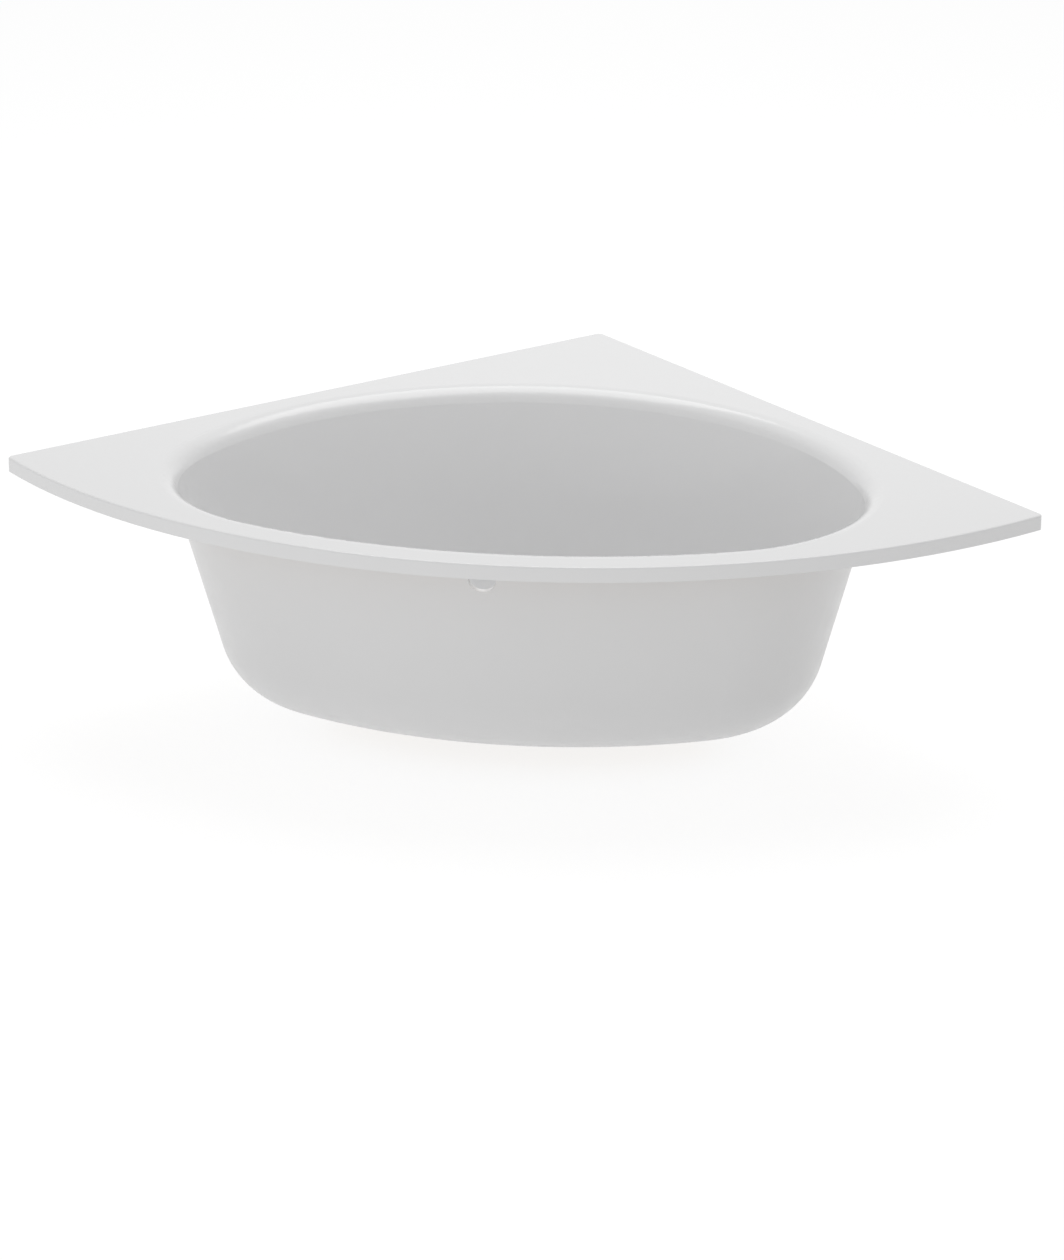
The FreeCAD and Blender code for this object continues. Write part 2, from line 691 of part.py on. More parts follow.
def make_corner_board():
    """Board that carries the wide deck between the bowl and the wall corner."""
    body = make_body("corner_board")
    outline = new_sketch(body, "corner_board_outline",
                         level="levels.deck_under - sizes.batten_thickness")
    inset = "(sizes.acrylic + sizes.batten_width + sizes.corner_board_gap)"
    half = "levels.corner_board_front - sqrt(2) * %s" % inset
    front = "-levels.corner_board_front"
    polygon(outline, [(0, "-sqrt(2) * " + inset), ("-(%s)" % half, front), (half, front)])
    pad(body, "corner_board_pad", outline, "sizes.batten_thickness")


def make_front_batten():
    """Curved timber inside the lip along the bowed front."""
    outer = "sizes.front_arc_radius - sizes.acrylic - sizes.bond_line"
    inner = outer + " - sizes.front_batten_width"
    y = "levels.corner_place - levels.front_arc_centre"
    z = "levels.deck_under - sizes.batten_thickness"
    start = Rotation(Vector(0, 0, -1), 90 + number("levels.front_batten_half_angle"))
    solid = cylinder("front_batten_solid", outer, "sizes.batten_thickness", 0, y, z, start)
    bind(solid, Angle="2 * levels.front_batten_half_angle",
         Placement__Rotation__Angle="90 deg + levels.front_batten_half_angle")
    hole = cylinder("front_batten_hole", inner, "sizes.batten_thickness", 0, y, z)
    keep(cut("front_batten", solid, hole), "front_batten")


# --- leg frame -----------------------------------------------------------------------


def make_rail(side):
    """Steel channel, open downwards, that carries two feet and splays to the back."""
    splay = Rotation(Vector(0, 0, -SIDES[side]), number("atan(levels.rail_spread / levels.rail_run)"))
    body = make_body("leg_rail_" + side, foot_x(side, "front"),
                     "levels.corner_place + " + foot_y("front"), splay)
    bind(body, Placement__Rotation__Angle="atan(levels.rail_spread / levels.rail_run)")
    profile = new_sketch(body, side + "_rail_profile", role="XZ_Plane", level="sizes.rail_overhang")
    half = "sizes.rail_width / 2"
    inside = "(sizes.rail_width / 2 - sizes.rail_wall)"
    low, top = "levels.rail_bottom", "levels.rail_top"
    web = "levels.rail_top - sizes.rail_wall"
    polygon(profile, [("-" + half, low), ("-" + half, top), (half, top), (half, low),
                      (inside, low), (inside, web), ("-" + inside, web), ("-" + inside, low)])
    length = "levels.rail_span + 2 * sizes.rail_overhang"
    channel = pad(body, side + "_channel", profile, length, Reversed=True)
    bends = ["Edge%d" % (i + 1) for i, e in enumerate(channel.Shape.Edges)
             if e.BoundBox.ZMin > number(top) - ON_EDGE and e.BoundBox.YLength > ON_EDGE]
    fillet(body, side + "_bends", channel, bends, "sizes.rail_wall")
    holes = new_sketch(body, side + "_rail_holes", level="levels.rail_top")
    screw = "sizes.screw_radius + sizes.screw_play"
    rings = [(0, distance, "sizes.spindle_hole_radius") for distance in (0, "levels.rail_span")]
    rings += [(0, screw_along(i), screw) for i in range(SCREWS_PER_RAIL)]
    circles(holes, rings)
    pocket(body, side + "_rail_holes_cut", holes, "sizes.rail_wall")


def make_rail_screws():
    """Screws up through both rails into the base board."""
    solids = []
    head_z = "levels.rail_top - sizes.rail_wall - sizes.screw_head_height"
    length = "sizes.screw_head_height + sizes.rail_wall + sizes.screw_bite"
    for i, (side, x, y) in enumerate(screw_places(), start=1):
        name = "screw_%s_%d" % (side, i)
        y = "levels.corner_place + " + y
        head = cylinder(name + "_head", "sizes.screw_head_radius", "sizes.screw_head_height",
                        x, y, head_z)
        shank = cylinder(name + "_shank", "sizes.screw_radius", length, x, y, head_z)
        screw = doc.addObject("Part::Fuse", name)
        screw.Base = head
        screw.Tool = shank
        solids.append(screw)
    group("rail_screws", solids)


def make_nuts(label, height, z):
    """One hexagon nut round each spindle."""
    solids = []
    for side in SIDES:
        for end in ENDS:
            name = "%s_%s_%s" % (label, end, side)
            x, y = foot_x(side, end), "levels.corner_place + " + foot_y(end)
            solid = prism(name, 6, "sizes.nut_circumradius", height, x, y, z)
            bore = cylinder(name + "_bore", "sizes.spindle_radius + sizes.thread_play", height,
                            x, y, z)
            solids.append(cut(name, solid, bore))
    group(label, solids)


def make_foot(side, end):
    """Screwed spindle with its collar, and the plastic pad that it stands in."""
    name = "%s_%s" % (end, side)
    x, y = foot_x(side, end), "levels.corner_place + " + foot_y(end)
    radius = "sizes.spindle_radius"
    chamfer = "sizes.spindle_chamfer"
    spindle = revolve("foot_spindle_" + name, x, y, [
        (0, "sizes.spindle_seat"),
        (radius, "sizes.spindle_seat"),
        (radius, "levels.spindle_top - " + chamfer),
        (radius + " - " + chamfer, "levels.spindle_top"),
        (0, "levels.spindle_top"),
    ])
    collar = spindle.newObject("PartDesign::AdditivePrism", name + "_collar")
    collar.Polygon = 6
    bind(collar, Circumradius="sizes.collar_circumradius", Height="sizes.collar_height")
    place(collar, 0, 0, "sizes.pad_height")
    doc.recompute()
    revolve("foot_pad_" + name, x, y, [
        (0, 0),
        ("sizes.pad_radius", 0),
        ("sizes.pad_radius", "sizes.pad_rim"),
        ("sizes.pad_boss_radius", "sizes.pad_height"),
        (radius, "sizes.pad_height"),
        (radius, "sizes.spindle_seat"),
        (0, "sizes.spindle_seat"),
    ])


# --- waste, plug and trap --------------------------------------------------------------


def make_waste_flange():
    """Waste with its plate, tail and the cross that holds the plug's cartridge."""
    body = revolve("waste_flange", 0, "levels.waste_place", [
        ("sizes.tail_bore", "levels.tail_bottom"),
        ("sizes.tail_radius", "levels.tail_bottom"),
        ("sizes.tail_radius", "levels.flange_under"),
        ("sizes.flange_radius", "levels.flange_under"),
        ("sizes.flange_radius", "levels.flange_top - sizes.flange_bevel"),
        ("sizes.flange_radius - sizes.flange_bevel", "levels.flange_top"),
        ("sizes.seat_radius", "levels.flange_top"),
        ("sizes.tail_bore", "levels.flange_under"),
    ])
    low = "levels.floor_top - sizes.spider_drop"
    reach = "(sizes.tail_bore + sizes.tail_radius) / 2"
    for name, turn in (("cross_arm", Rotation()), ("long_arm", Rotation(Vector(0, 0, 1), 90))):
        arm = body.newObject("PartDesign::AdditiveBox", name)
        bind(arm, Length="2 * " + reach, Width="sizes.spider_arm", Height="sizes.spider_height")
        if turn.Angle == 0:
            place(arm, "-" + reach, "-sizes.spider_arm / 2", low, turn)
        else:
            place(arm, "sizes.spider_arm / 2", "-" + reach, low, turn)
        doc.recompute()
    hub = cylinder_feature(body, "AdditiveCylinder", "hub", "sizes.spider_hub", "sizes.spider_height")
    place(hub, 0, 0, low)
    bore = cylinder_feature(body, "SubtractiveCylinder", "hub_bore", "sizes.cartridge_radius",
                            "sizes.spider_height")
    place(bore, 0, 0, low)
    doc.recompute()


def cylinder_feature(body, kind, name, radius, height):
    """A cylinder added to a body or cut out of it."""
    thing = body.newObject("PartDesign::" + kind, name)
    bind(thing, Radius=radius, Height=height)
    return thing


def make_plug():
    """Push-open plug: crowned cap, its sealing ring, stem and fixed cartridge."""
    where = "levels.waste_place"
    cap = revolve("plug_cap", 0, where, [
        (0, "levels.plug_under"),
        ("sizes.plug_radius", "levels.plug_under"),
        ("sizes.plug_radius", "levels.plug_under + sizes.plug_edge"),
        (0, "levels.plug_under + sizes.plug_crown"),
    ])
    turned = cap.Tip
    edge_height = number("levels.plug_under + sizes.plug_edge")
    edges = ["Edge%d" % (i + 1) for i, e in enumerate(turned.Shape.Edges)
             if e.BoundBox.ZLength < ON_EDGE and abs(e.BoundBox.ZMin - edge_height) < ON_EDGE]
    fillet(cap, "cap_edge", turned, edges, "sizes.plug_edge_round")
    ring("plug_seal", "sizes.seal_inner_radius", "sizes.seal_outer_radius", "sizes.seal_height",
         where, "levels.flange_top")
    stem_low = "levels.floor_top - sizes.stem_drop"
    keep(cylinder("plug_stem", "sizes.stem_radius", "levels.plug_under - (%s)" % stem_low,
                  0, where, stem_low), "plug_stem")
    low = "levels.floor_top - sizes.cartridge_drop"
    top = "levels.floor_top - sizes.spider_drop + sizes.spider_height"
    bore = "sizes.stem_radius + sizes.stem_play"
    revolve("plug_cartridge", 0, where, [
        (0, low),
        ("sizes.cartridge_radius", low),
        ("sizes.cartridge_radius", top),
        (bore, top),
        (bore, low + " + sizes.cartridge_floor"),
        (0, low + " + sizes.cartridge_floor"),
    ])


def make_trap():
    """Flat trap clamped under the floor by the waste, with its outlet and capped inlet."""
    where = "levels.waste_place"
    low, top = "sizes.trap_clearance", "levels.trap_top_face"
    under = "levels.trap_top_face - sizes.trap_top"
    neck = "sizes.tail_radius + sizes.socket_play"
    inside = "sizes.trap_radius - sizes.trap_wall"
    bevel = "sizes.trap_bevel"
    body = revolve("trap_body", 0, where, [
        (0, low),
        ("sizes.trap_radius - " + bevel, low),
        ("sizes.trap_radius", "%s + %s" % (low, bevel)),
        ("sizes.trap_radius", top),
        (neck, top),
        (neck, under),
        (inside, under),
        (inside, "%s + sizes.trap_wall + %s" % (low, bevel)),
        ("%s - %s" % (inside, bevel), low + " + sizes.trap_wall"),
        (0, low + " + sizes.trap_wall"),
    ])
    start = "(sizes.trap_radius - sizes.trap_wall)"
    spouts = [
        ("AdditiveCylinder", "outlet_spigot", "sizes.spigot_radius",
         "sizes.spigot_end - " + start, TURN_Y, start, "sizes.outlet_height"),
        ("SubtractiveCylinder", "outlet_bore", "sizes.outlet_bore",
         "sizes.trap_radius", TURN_Y, "sizes.dip_radius", "sizes.outlet_height"),
        ("SubtractiveCylinder", "outlet_socket", "sizes.pipe_radius + sizes.socket_play",
         "sizes.spigot_end - sizes.socket_start", TURN_Y, "sizes.socket_start",
         "sizes.outlet_height"),
        ("AdditiveCylinder", "inlet_spigot", "sizes.inlet_radius",
         "sizes.inlet_end - " + start, TURN_MINUS_X, start, "sizes.inlet_height"),
        ("SubtractiveCylinder", "inlet_bore", "sizes.inlet_bore",
         "sizes.trap_radius", TURN_MINUS_X, "sizes.dip_radius", "sizes.inlet_height"),
    ]
    for kind, name, radius, length, turn, distance, height in spouts:
        spout = cylinder_feature(body, kind, name, radius, length)
        if turn is TURN_Y:
            place(spout, 0, distance, height, turn)
        else:
            place(spout, "-" + distance, 0, height, turn)
        doc.recompute()
    dip_low = "%s + sizes.dip_clearance" % low
    ring("trap_dip_tube", "sizes.dip_radius - sizes.dip_wall", "sizes.dip_radius",
         "%s - (%s)" % (under, dip_low), where, dip_low)


def make_outlet():
    """Outlet pipe with its sealing ring and union nut, and the cap on the spare inlet."""
    y, z = "levels.waste_place", "sizes.outlet_height"
    pipe_start = "sizes.socket_start"

    def along(name, radius, start, length):
        return cylinder(name, radius, length, 0, "%s + %s" % (y, start), z, TURN_Y)

    length = "levels.pipe_end - " + pipe_start
    bell_start = "(levels.pipe_end - sizes.bell_depth)"
    pipe = doc.addObject("Part::Fuse", "pipe_and_bell")
    pipe.Base = along("pipe_solid", "sizes.pipe_radius", pipe_start, length)
    pipe.Tool = along("bell_solid", "sizes.bell_radius", bell_start + " - sizes.pipe_wall",
                      "sizes.bell_depth + sizes.pipe_wall")
    bore = along("pipe_bore", "sizes.pipe_radius - sizes.pipe_wall", pipe_start, length)
    bell = along("bell_mouth", "sizes.bell_bore", bell_start, "sizes.bell_depth")
    keep(cut("outlet_pipe", pipe, bore, bell), "outlet_pipe")

    seal = along("seal_solid", "sizes.spigot_radius", "sizes.spigot_end", "sizes.outlet_seal_width")
    hole = along("seal_hole", "sizes.pipe_radius", "sizes.spigot_end", "sizes.outlet_seal_width")
    keep(cut("outlet_seal", seal, hole), "outlet_seal")

    seal_end = "(sizes.spigot_end + sizes.outlet_seal_width)"
    nut_length = "%s + sizes.outlet_nut_lip - sizes.outlet_nut_start" % seal_end
    nut = prism("union_nut_solid", 12, "sizes.outlet_nut_circumradius", nut_length, 0,
                y + " + sizes.outlet_nut_start", z, TURN_Y)
    wide = along("union_nut_thread", "sizes.spigot_radius + sizes.thread_play",
                 "sizes.outlet_nut_start", seal_end + " - sizes.outlet_nut_start")
    narrow = along("union_nut_mouth", "sizes.pipe_radius + sizes.socket_play",
                   "sizes.outlet_nut_start", nut_length)
    keep(cut("outlet_nut", nut, wide, narrow), "outlet_nut")

    cap_start = "(sizes.inlet_end + sizes.inlet_seal + sizes.cap_face - sizes.cap_depth)"
    cap = prism("cap_solid", 12, "sizes.cap_circumradius", "sizes.cap_depth",
                "-" + cap_start, y, "sizes.inlet_height", TURN_MINUS_X)
    thread = cylinder("cap_thread", "sizes.inlet_radius + sizes.thread_play",
                      "sizes.cap_depth - sizes.cap_face", "-" + cap_start, y,
                      "sizes.inlet_height", TURN_MINUS_X)
    keep(cut("overflow_inlet_cap", cap, thread), "overflow_inlet_cap")
    keep(cylinder("inlet_seal_disc", "sizes.inlet_radius", "sizes.inlet_seal", "-sizes.inlet_end",
                  y, "sizes.inlet_height", TURN_MINUS_X), "inlet_cap_seal")


make_shell()
make_reinforcement()
make_base_board()
for hand_name in SIDES:
    make_wall_batten(hand_name)
    make_rail(hand_name)
make_front_batten()
make_corner_board()
make_rail_screws()
make_nuts("rail_nuts", "sizes.nut_height", "levels.nut_bottom")
make_nuts("lock_nuts", "sizes.lock_nut_height", "levels.nut_bottom - sizes.lock_nut_height")
for hand_name in SIDES:
    for end_name in ENDS:
        make_foot(hand_name, end_name)
ring("flange_gasket", "sizes.waste_hole_radius", "sizes.flange_gasket_radius",
     "sizes.gasket_thickness", "levels.waste_place", "levels.floor_top")
ring("trap_gasket", "sizes.waste_hole_radius", "sizes.trap_gasket_radius",
     "sizes.gasket_thickness", "levels.waste_place", "levels.trap_top_face")
make_waste_flange()
make_plug()
make_trap()
make_outlet()
doc.recompute()

failed = [thing.Name for thing in doc.Objects
          if "Invalid" in thing.State or "Error" in thing.State]
if failed:
    raise ValueError("these did not compute: " + ", ".join(failed))
for thing in subparts:
    if thing.Shape.isNull() or not thing.Shape.isValid() or not thing.Shape.Solids:
        raise ValueError(thing.Label + " has no valid shape")

os.makedirs("parts", exist_ok=True)
for thing in subparts:
    thing.Shape.exportStep("parts/%s.step" % thing.Label)
    box = thing.Shape.BoundBox
    print("%-28s solids %d volume %12.1f z %7.2f..%7.2f" % (
        thing.Label, len(thing.Shape.Solids), thing.Shape.Volume, box.ZMin, box.ZMax))
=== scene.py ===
"""Studio scene of a corner bathtub: moulded shell, under-frame, feet, plug and trap."""

import json
import logging
import math
from dataclasses import dataclass, field
from enum import Enum
from typing import Any, Callable, Iterable

import bpy
from mathutils import Matrix, Vector

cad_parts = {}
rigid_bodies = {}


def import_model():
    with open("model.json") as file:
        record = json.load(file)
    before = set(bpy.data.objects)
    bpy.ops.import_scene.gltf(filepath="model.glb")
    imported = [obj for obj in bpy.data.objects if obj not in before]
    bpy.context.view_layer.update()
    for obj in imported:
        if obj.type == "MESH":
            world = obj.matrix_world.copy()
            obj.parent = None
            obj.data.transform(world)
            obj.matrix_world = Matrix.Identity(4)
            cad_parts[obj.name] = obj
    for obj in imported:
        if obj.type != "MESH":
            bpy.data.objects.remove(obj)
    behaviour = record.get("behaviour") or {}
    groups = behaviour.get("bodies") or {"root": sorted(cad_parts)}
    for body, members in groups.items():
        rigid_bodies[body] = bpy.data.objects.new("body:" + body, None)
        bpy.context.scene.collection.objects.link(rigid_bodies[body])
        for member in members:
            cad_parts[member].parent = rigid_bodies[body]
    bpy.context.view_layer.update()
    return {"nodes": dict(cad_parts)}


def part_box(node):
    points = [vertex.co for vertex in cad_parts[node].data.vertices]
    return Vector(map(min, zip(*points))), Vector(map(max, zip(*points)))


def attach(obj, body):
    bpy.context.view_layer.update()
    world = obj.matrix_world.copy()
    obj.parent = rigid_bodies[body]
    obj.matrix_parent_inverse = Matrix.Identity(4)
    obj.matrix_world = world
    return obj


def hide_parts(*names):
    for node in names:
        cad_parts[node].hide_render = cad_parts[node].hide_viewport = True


Colour = tuple[float, float, float]
Point = tuple[float, float, float]
Socket = bpy.types.NodeSocket
Layers = tuple[Socket, Socket, bpy.types.Node]

MIX_FIRST, MIX_SECOND, MIX_RESULT = 6, 7, 2    # colour sockets of the Mix node

CAMERA_PLACE: Point = (1.5404, -8.9141, 3.5205)
CAMERA_TARGET: Point = (0.094, -0.6351, 0.380)
CAMERA_LENS = 141.0
CAMERA_SENSOR = 36.0
CAMERA_CLIP = (0.1, 100.0)
CAD_JOIN = 0.000002     # points of a carried-over mesh this near each other are one
END_JOIN = 0.00001      # the same at a thread's ends

log = logging.getLogger("corner_bath")


class Pattern(Enum):
    """What the surface of a finish shows close up."""

    MOULDED = "smooth sheet with a faint ripple"
    STRANDS = "short glass strands under resin"
    GRAIN = "sawn softwood"
    CHIPS = "pressed wood chips"
    SPANGLE = "zinc crystals"
    TURNED = "fine rings from a lathe"
    PEBBLE = "fine matt texture of a mould"
    POLISHED = "buffed metal with faint wipes"


class Axis(Enum):
    """Direction in which a grain or a lathe's rings run, as a turn of the pattern."""

    X = (0.0, 0.0, 0.0)
    Z = (0.0, math.pi / 2, 0.0)
    LEFT_WALL = (0.0, 0.0, -math.pi / 4)
    RIGHT_WALL = (0.0, 0.0, math.pi / 4)


class Surface:
    """Node tree of one material, laid on the piece's own coordinates."""

    def __init__(self, name: str, turn: Axis) -> None:
        """Starts an empty tree.

        Args:
            name: The material's name.
            turn: The direction that the pattern follows.
        """
        self.material = bpy.data.materials.new(name)
        self.material.use_nodes = True
        self.tree = self.material.node_tree
        self.tree.nodes.clear()
        coordinates = self.add("ShaderNodeTexCoord").outputs["Object"]
        self.place = self.add("ShaderNodeMapping", Vector=coordinates, Rotation=turn.value)

    def add(self, kind: str, **settings: Any) -> bpy.types.Node:
        """Adds a node and sets or links its inputs and properties.

        Args:
            kind: The node's type.
            **settings: Inputs by name, with spaces as underscores, or properties.

        Returns:
            The new node.
        """
        node = self.tree.nodes.new(kind)
        for key, value in settings.items():
            socket = node.inputs.get(key.replace("_", " "))
            if socket is None:
                setattr(node, key, value)
            elif isinstance(value, bpy.types.NodeSocket):
                self.tree.links.new(value, socket)
            elif isinstance(value, bpy.types.Node):
                self.tree.links.new(value.outputs[0], socket)
            else:
                socket.default_value = value
        return node

    def stretched(self, scale: Point) -> bpy.types.Node:
        """Pattern coordinates scaled by a different amount along each axis."""
        return self.add("ShaderNodeMapping", Vector=self.place, Scale=scale)

    def noise(self, scale: float, detail: float = 3.0, roughness: float = 0.5,
              where: bpy.types.Node | None = None) -> Socket:
        """Value of a noise pattern.

        Args:
            scale: Lumps to a metre.
            detail: Octaves.
            roughness: Weight of the finer octaves.
            where: Coordinates, the surface's own when left out.

        Returns:
            The noise's value, from 0 to 1.
        """
        node = self.add("ShaderNodeTexNoise", Vector=where or self.place, Scale=scale,
                        Detail=detail, Roughness=roughness)
        return node.outputs["Fac"]

    def cells(self, scale: float) -> bpy.types.Node:
        """A cell pattern with so many cells to a metre."""
        return self.add("ShaderNodeTexVoronoi", Vector=self.place, Scale=scale)

    def spread(self, value: Socket, low: float, high: float,
               start: float = 0.3, end: float = 0.7) -> Socket:
        """Carries a value from one range to another.

        Args:
            value: The value to carry over.
            low: Result at the start of the range.
            high: Result at its end.
            start: The start of the value's range.
            end: The end of the value's range.

        Returns:
            The new value.
        """
        names = {"From Min": start, "From Max": end, "To Min": low, "To Max": high}
        node = self.add("ShaderNodeMapRange", Value=value)
        for name, number in names.items():
            node.inputs[name].default_value = number
        return node.outputs["Result"]

    def blend(self, share: Socket, first: Colour, second: Colour) -> Socket:
        """Colour that runs from the first to the second.

        Args:
            share: The second colour's share, from 0 to 1.
            first: Colour at a share of 0.
            second: Colour at a share of 1.

        Returns:
            The mixed colour.
        """
        node = self.add("ShaderNodeMix", data_type="RGBA")
        self.tree.links.new(share, node.inputs["Factor"])
        node.inputs[MIX_FIRST].default_value = (*first, 1.0)
        node.inputs[MIX_SECOND].default_value = (*second, 1.0)
        return node.outputs[MIX_RESULT]

    def relief(self, height: Socket, distance: float, strength: float,
               under: bpy.types.Node | None = None) -> bpy.types.Node:
        """Small bumps that follow a pattern.

        Args:
            height: The pattern, high where its value is high.
            distance: Height of the bumps in metres.
            strength: How strongly they turn the light, from 0 to 1.
            under: Other bumps that these lie on.

        Returns:
            The bump node.
        """
        node = self.add("ShaderNodeBump", Height=height, Distance=distance, Strength=strength)
        if under is not None:
            self.tree.links.new(under.outputs[0], node.inputs["Normal"])
        return node

    def close(self, **settings: Any) -> bpy.types.Material:
        """Ends the tree in its shader.

        Args:
            **settings: The shader's inputs, as the method add takes them.

        Returns:
            The finished material.
        """
        shader = self.add("ShaderNodeBsdfPrincipled", **settings)
        self.add("ShaderNodeOutputMaterial", Surface=shader)
        return self.material


@dataclass(frozen=True)
class Finish:
    """One finish of the bath: two tones, the range of its roughness and its pattern."""

    name: str
    tone: Colour
    second_tone: Colour
    pattern: Pattern
    roughness: tuple[float, float]
    metallic: float = 0.0
    coat: float = 0.0
    coat_roughness: float = 0.05

    def material(self, turn: Axis = Axis.X) -> bpy.types.Material:
        """The finish as a material, made once for each direction of its pattern.

        Args:
            turn: The direction that the pattern follows.

        Returns:
            The material.
        """
        label = "%s_%s" % (self.name, turn.name.lower())
        if label in bpy.data.materials:
            return bpy.data.materials[label]
        surface = Surface(label, turn)
        make = getattr(self, "_" + self.pattern.name.lower())
        share, wear, bumps = make(surface)
        return surface.close(
            Base_Color=surface.blend(share, self.tone, self.second_tone),
            Roughness=surface.spread(wear, *self.roughness), Metallic=self.metallic,
            Coat_Weight=self.coat, Coat_Roughness=self.coat_roughness, Normal=bumps)

    def _moulded(self, surface: Surface) -> Layers:
        """Broad soft variation and a ripple that only a highlight shows.

        Args:
            surface: The tree that the pattern is drawn in.

        Returns:
            The second tone's share, the wear that roughens the gloss, and the bumps.
        """
        broad = surface.noise(scale=2.2, detail=2.0)
        ripple = surface.relief(surface.noise(scale=16.0, detail=2.0),
                                distance=0.00035, strength=0.5)
        wear = surface.noise(scale=5.0)
        fine = surface.relief(surface.noise(scale=420.0, detail=2.0),
                              distance=0.00002, strength=0.4, under=ripple)
        return broad, wear, fine

    def _strands(self, surface: Surface) -> Layers:
        """Strands that cross in the resin, two directions of stretched noise.

        Args:
            surface: The tree that the pattern is drawn in.

        Returns:
            The second tone's share, the wear that roughens the gloss, and the bumps.
        """
        along, across = (
            surface.noise(scale=14.0, roughness=0.6, where=surface.stretched(stretch))
            for stretch in ((1.0, 7.0, 3.0), (7.0, 1.0, 3.0)))
        bumps = surface.relief(along, distance=0.00025, strength=0.5)
        bumps = surface.relief(across, distance=0.00025, strength=0.5, under=bumps)
        return surface.noise(scale=4.0, detail=4.0), surface.noise(scale=30.0), bumps

    def _grain(self, surface: Surface) -> Layers:
        """Year rings drawn out along the timber, with fine pores.

        Args:
            surface: The tree that the pattern is drawn in.

        Returns:
            The second tone's share, the wear that roughens the gloss, and the bumps.
        """
        rings = surface.add("ShaderNodeTexWave", Vector=surface.stretched((0.6, 9.0, 9.0)),
                            Scale=4.0, Distortion=7.0, Detail=3.0, Detail_Scale=1.4,
                            bands_direction="Y").outputs["Fac"]
        pores = surface.noise(scale=60.0, detail=4.0, roughness=0.6,
                              where=surface.stretched((0.12, 3.0, 3.0)))
        bumps = surface.relief(rings, distance=0.0002, strength=0.4)
        bumps = surface.relief(pores, distance=0.0002, strength=0.6, under=bumps)
        return surface.spread(rings, low=0.0, high=1.0, start=0.1, end=0.95), pores, bumps

    def _chips(self, surface: Surface) -> Layers:
        """Pale and dark chips pressed flat.

        Args:
            surface: The tree that the pattern is drawn in.

        Returns:
            The second tone's share, the wear that roughens the gloss, and the bumps.
        """
        chips = surface.cells(scale=230.0)
        tone = surface.add("ShaderNodeSeparateColor", Color=chips.outputs["Color"]).outputs[0]
        bumps = surface.relief(chips.outputs["Distance"], distance=0.0002, strength=0.5)
        return tone, surface.noise(scale=90.0), bumps

    def _spangle(self, surface: Surface) -> Layers:
        """Zinc crystals that differ in tone and gloss.

        Args:
            surface: The tree that the pattern is drawn in.

        Returns:
            The second tone's share, the wear that roughens the gloss, and the bumps.
        """
        crystals = surface.cells(scale=85.0)
        tone = surface.add("ShaderNodeSeparateColor", Color=crystals.outputs["Color"]).outputs[0]
        bumps = surface.relief(surface.noise(scale=160.0), distance=0.00005, strength=0.5)
        return tone, tone, bumps

    def _turned(self, surface: Surface) -> Layers:
        """Rings round the piece's axis, and handling marks.

        Args:
            surface: The tree that the pattern is drawn in.

        Returns:
            The second tone's share, the wear that roughens the gloss, and the bumps.
        """
        rings = surface.add("ShaderNodeTexWave", Vector=surface.place, Scale=900.0,
                            Distortion=0.4, bands_direction="X").outputs["Fac"]
        bumps = surface.relief(rings, distance=0.00002, strength=0.5)
        return surface.noise(scale=120.0), rings, bumps

    def _pebble(self, surface: Surface) -> Layers:
        """Even matt texture with broad soft tone.

        Args:
            surface: The tree that the pattern is drawn in.

        Returns:
            The second tone's share, the wear that roughens the gloss, and the bumps.
        """
        bumps = surface.relief(surface.noise(scale=900.0, detail=2.0),
                               distance=0.00006, strength=0.6)
        return surface.noise(scale=18.0), surface.noise(scale=60.0), bumps

    def _polished(self, surface: Surface) -> Layers:
        """Nearly flat metal with wipe marks in its gloss.

        Args:
            surface: The tree that the pattern is drawn in.

        Returns:
            The second tone's share, the wear that roughens the gloss, and the bumps.
        """
        wipes = surface.noise(scale=40.0, detail=4.0, roughness=0.6,
                              where=surface.stretched((1.0, 5.0, 1.0)))
        bumps = surface.relief(surface.noise(scale=300.0), distance=0.000005, strength=0.3)
        return surface.noise(scale=25.0), wipes, bumps


ACRYLIC = Finish("white_acrylic", (0.800, 0.800, 0.802), (0.785, 0.785, 0.788),
                 Pattern.MOULDED, roughness=(0.16, 0.24), coat=0.25, coat_roughness=0.06)
# Painted shade: the skin's tone is set darker than the acrylic's, although the bowl's outside is
# the same white. The lower tone stands in for the shade that falls on the outside of the bowl.
SHADED_GLASS_FIBRE = Finish("glass_fibre_skin_shaded", (0.745, 0.746, 0.748), (0.725, 0.726, 0.729),
                     Pattern.STRANDS, roughness=(0.30, 0.42))
TIMBER = Finish("softwood", (0.56, 0.37, 0.19), (0.40, 0.235, 0.105),
                Pattern.GRAIN, roughness=(0.55, 0.75))
CHIPBOARD = Finish("chipboard", (0.50, 0.36, 0.20), (0.29, 0.185, 0.09),
                   Pattern.CHIPS, roughness=(0.55, 0.75))
ZINC = Finish("zinc_plate", (0.56, 0.58, 0.60), (0.40, 0.42, 0.44),
              Pattern.SPANGLE, roughness=(0.28, 0.48), metallic=1.0)
BRIGHT_ZINC = Finish("bright_zinc", (0.62, 0.61, 0.57), (0.50, 0.49, 0.46),
                     Pattern.TURNED, roughness=(0.20, 0.38), metallic=1.0)
BLACK_PLASTIC = Finish("black_plastic", (0.018, 0.018, 0.019), (0.030, 0.030, 0.031),
                       Pattern.PEBBLE, roughness=(0.38, 0.55))
CHROME = Finish("chrome", (0.560, 0.562, 0.568), (0.515, 0.518, 0.525),
                Pattern.POLISHED, roughness=(0.04, 0.12), metallic=1.0)
BRASS = Finish("turned_brass", (0.62, 0.42, 0.17), (0.50, 0.33, 0.13),
               Pattern.TURNED, roughness=(0.18, 0.34), metallic=1.0)
NATURAL_PLASTIC = Finish("natural_plastic", (0.78, 0.77, 0.73), (0.72, 0.71, 0.67),
                         Pattern.PEBBLE, roughness=(0.30, 0.45))
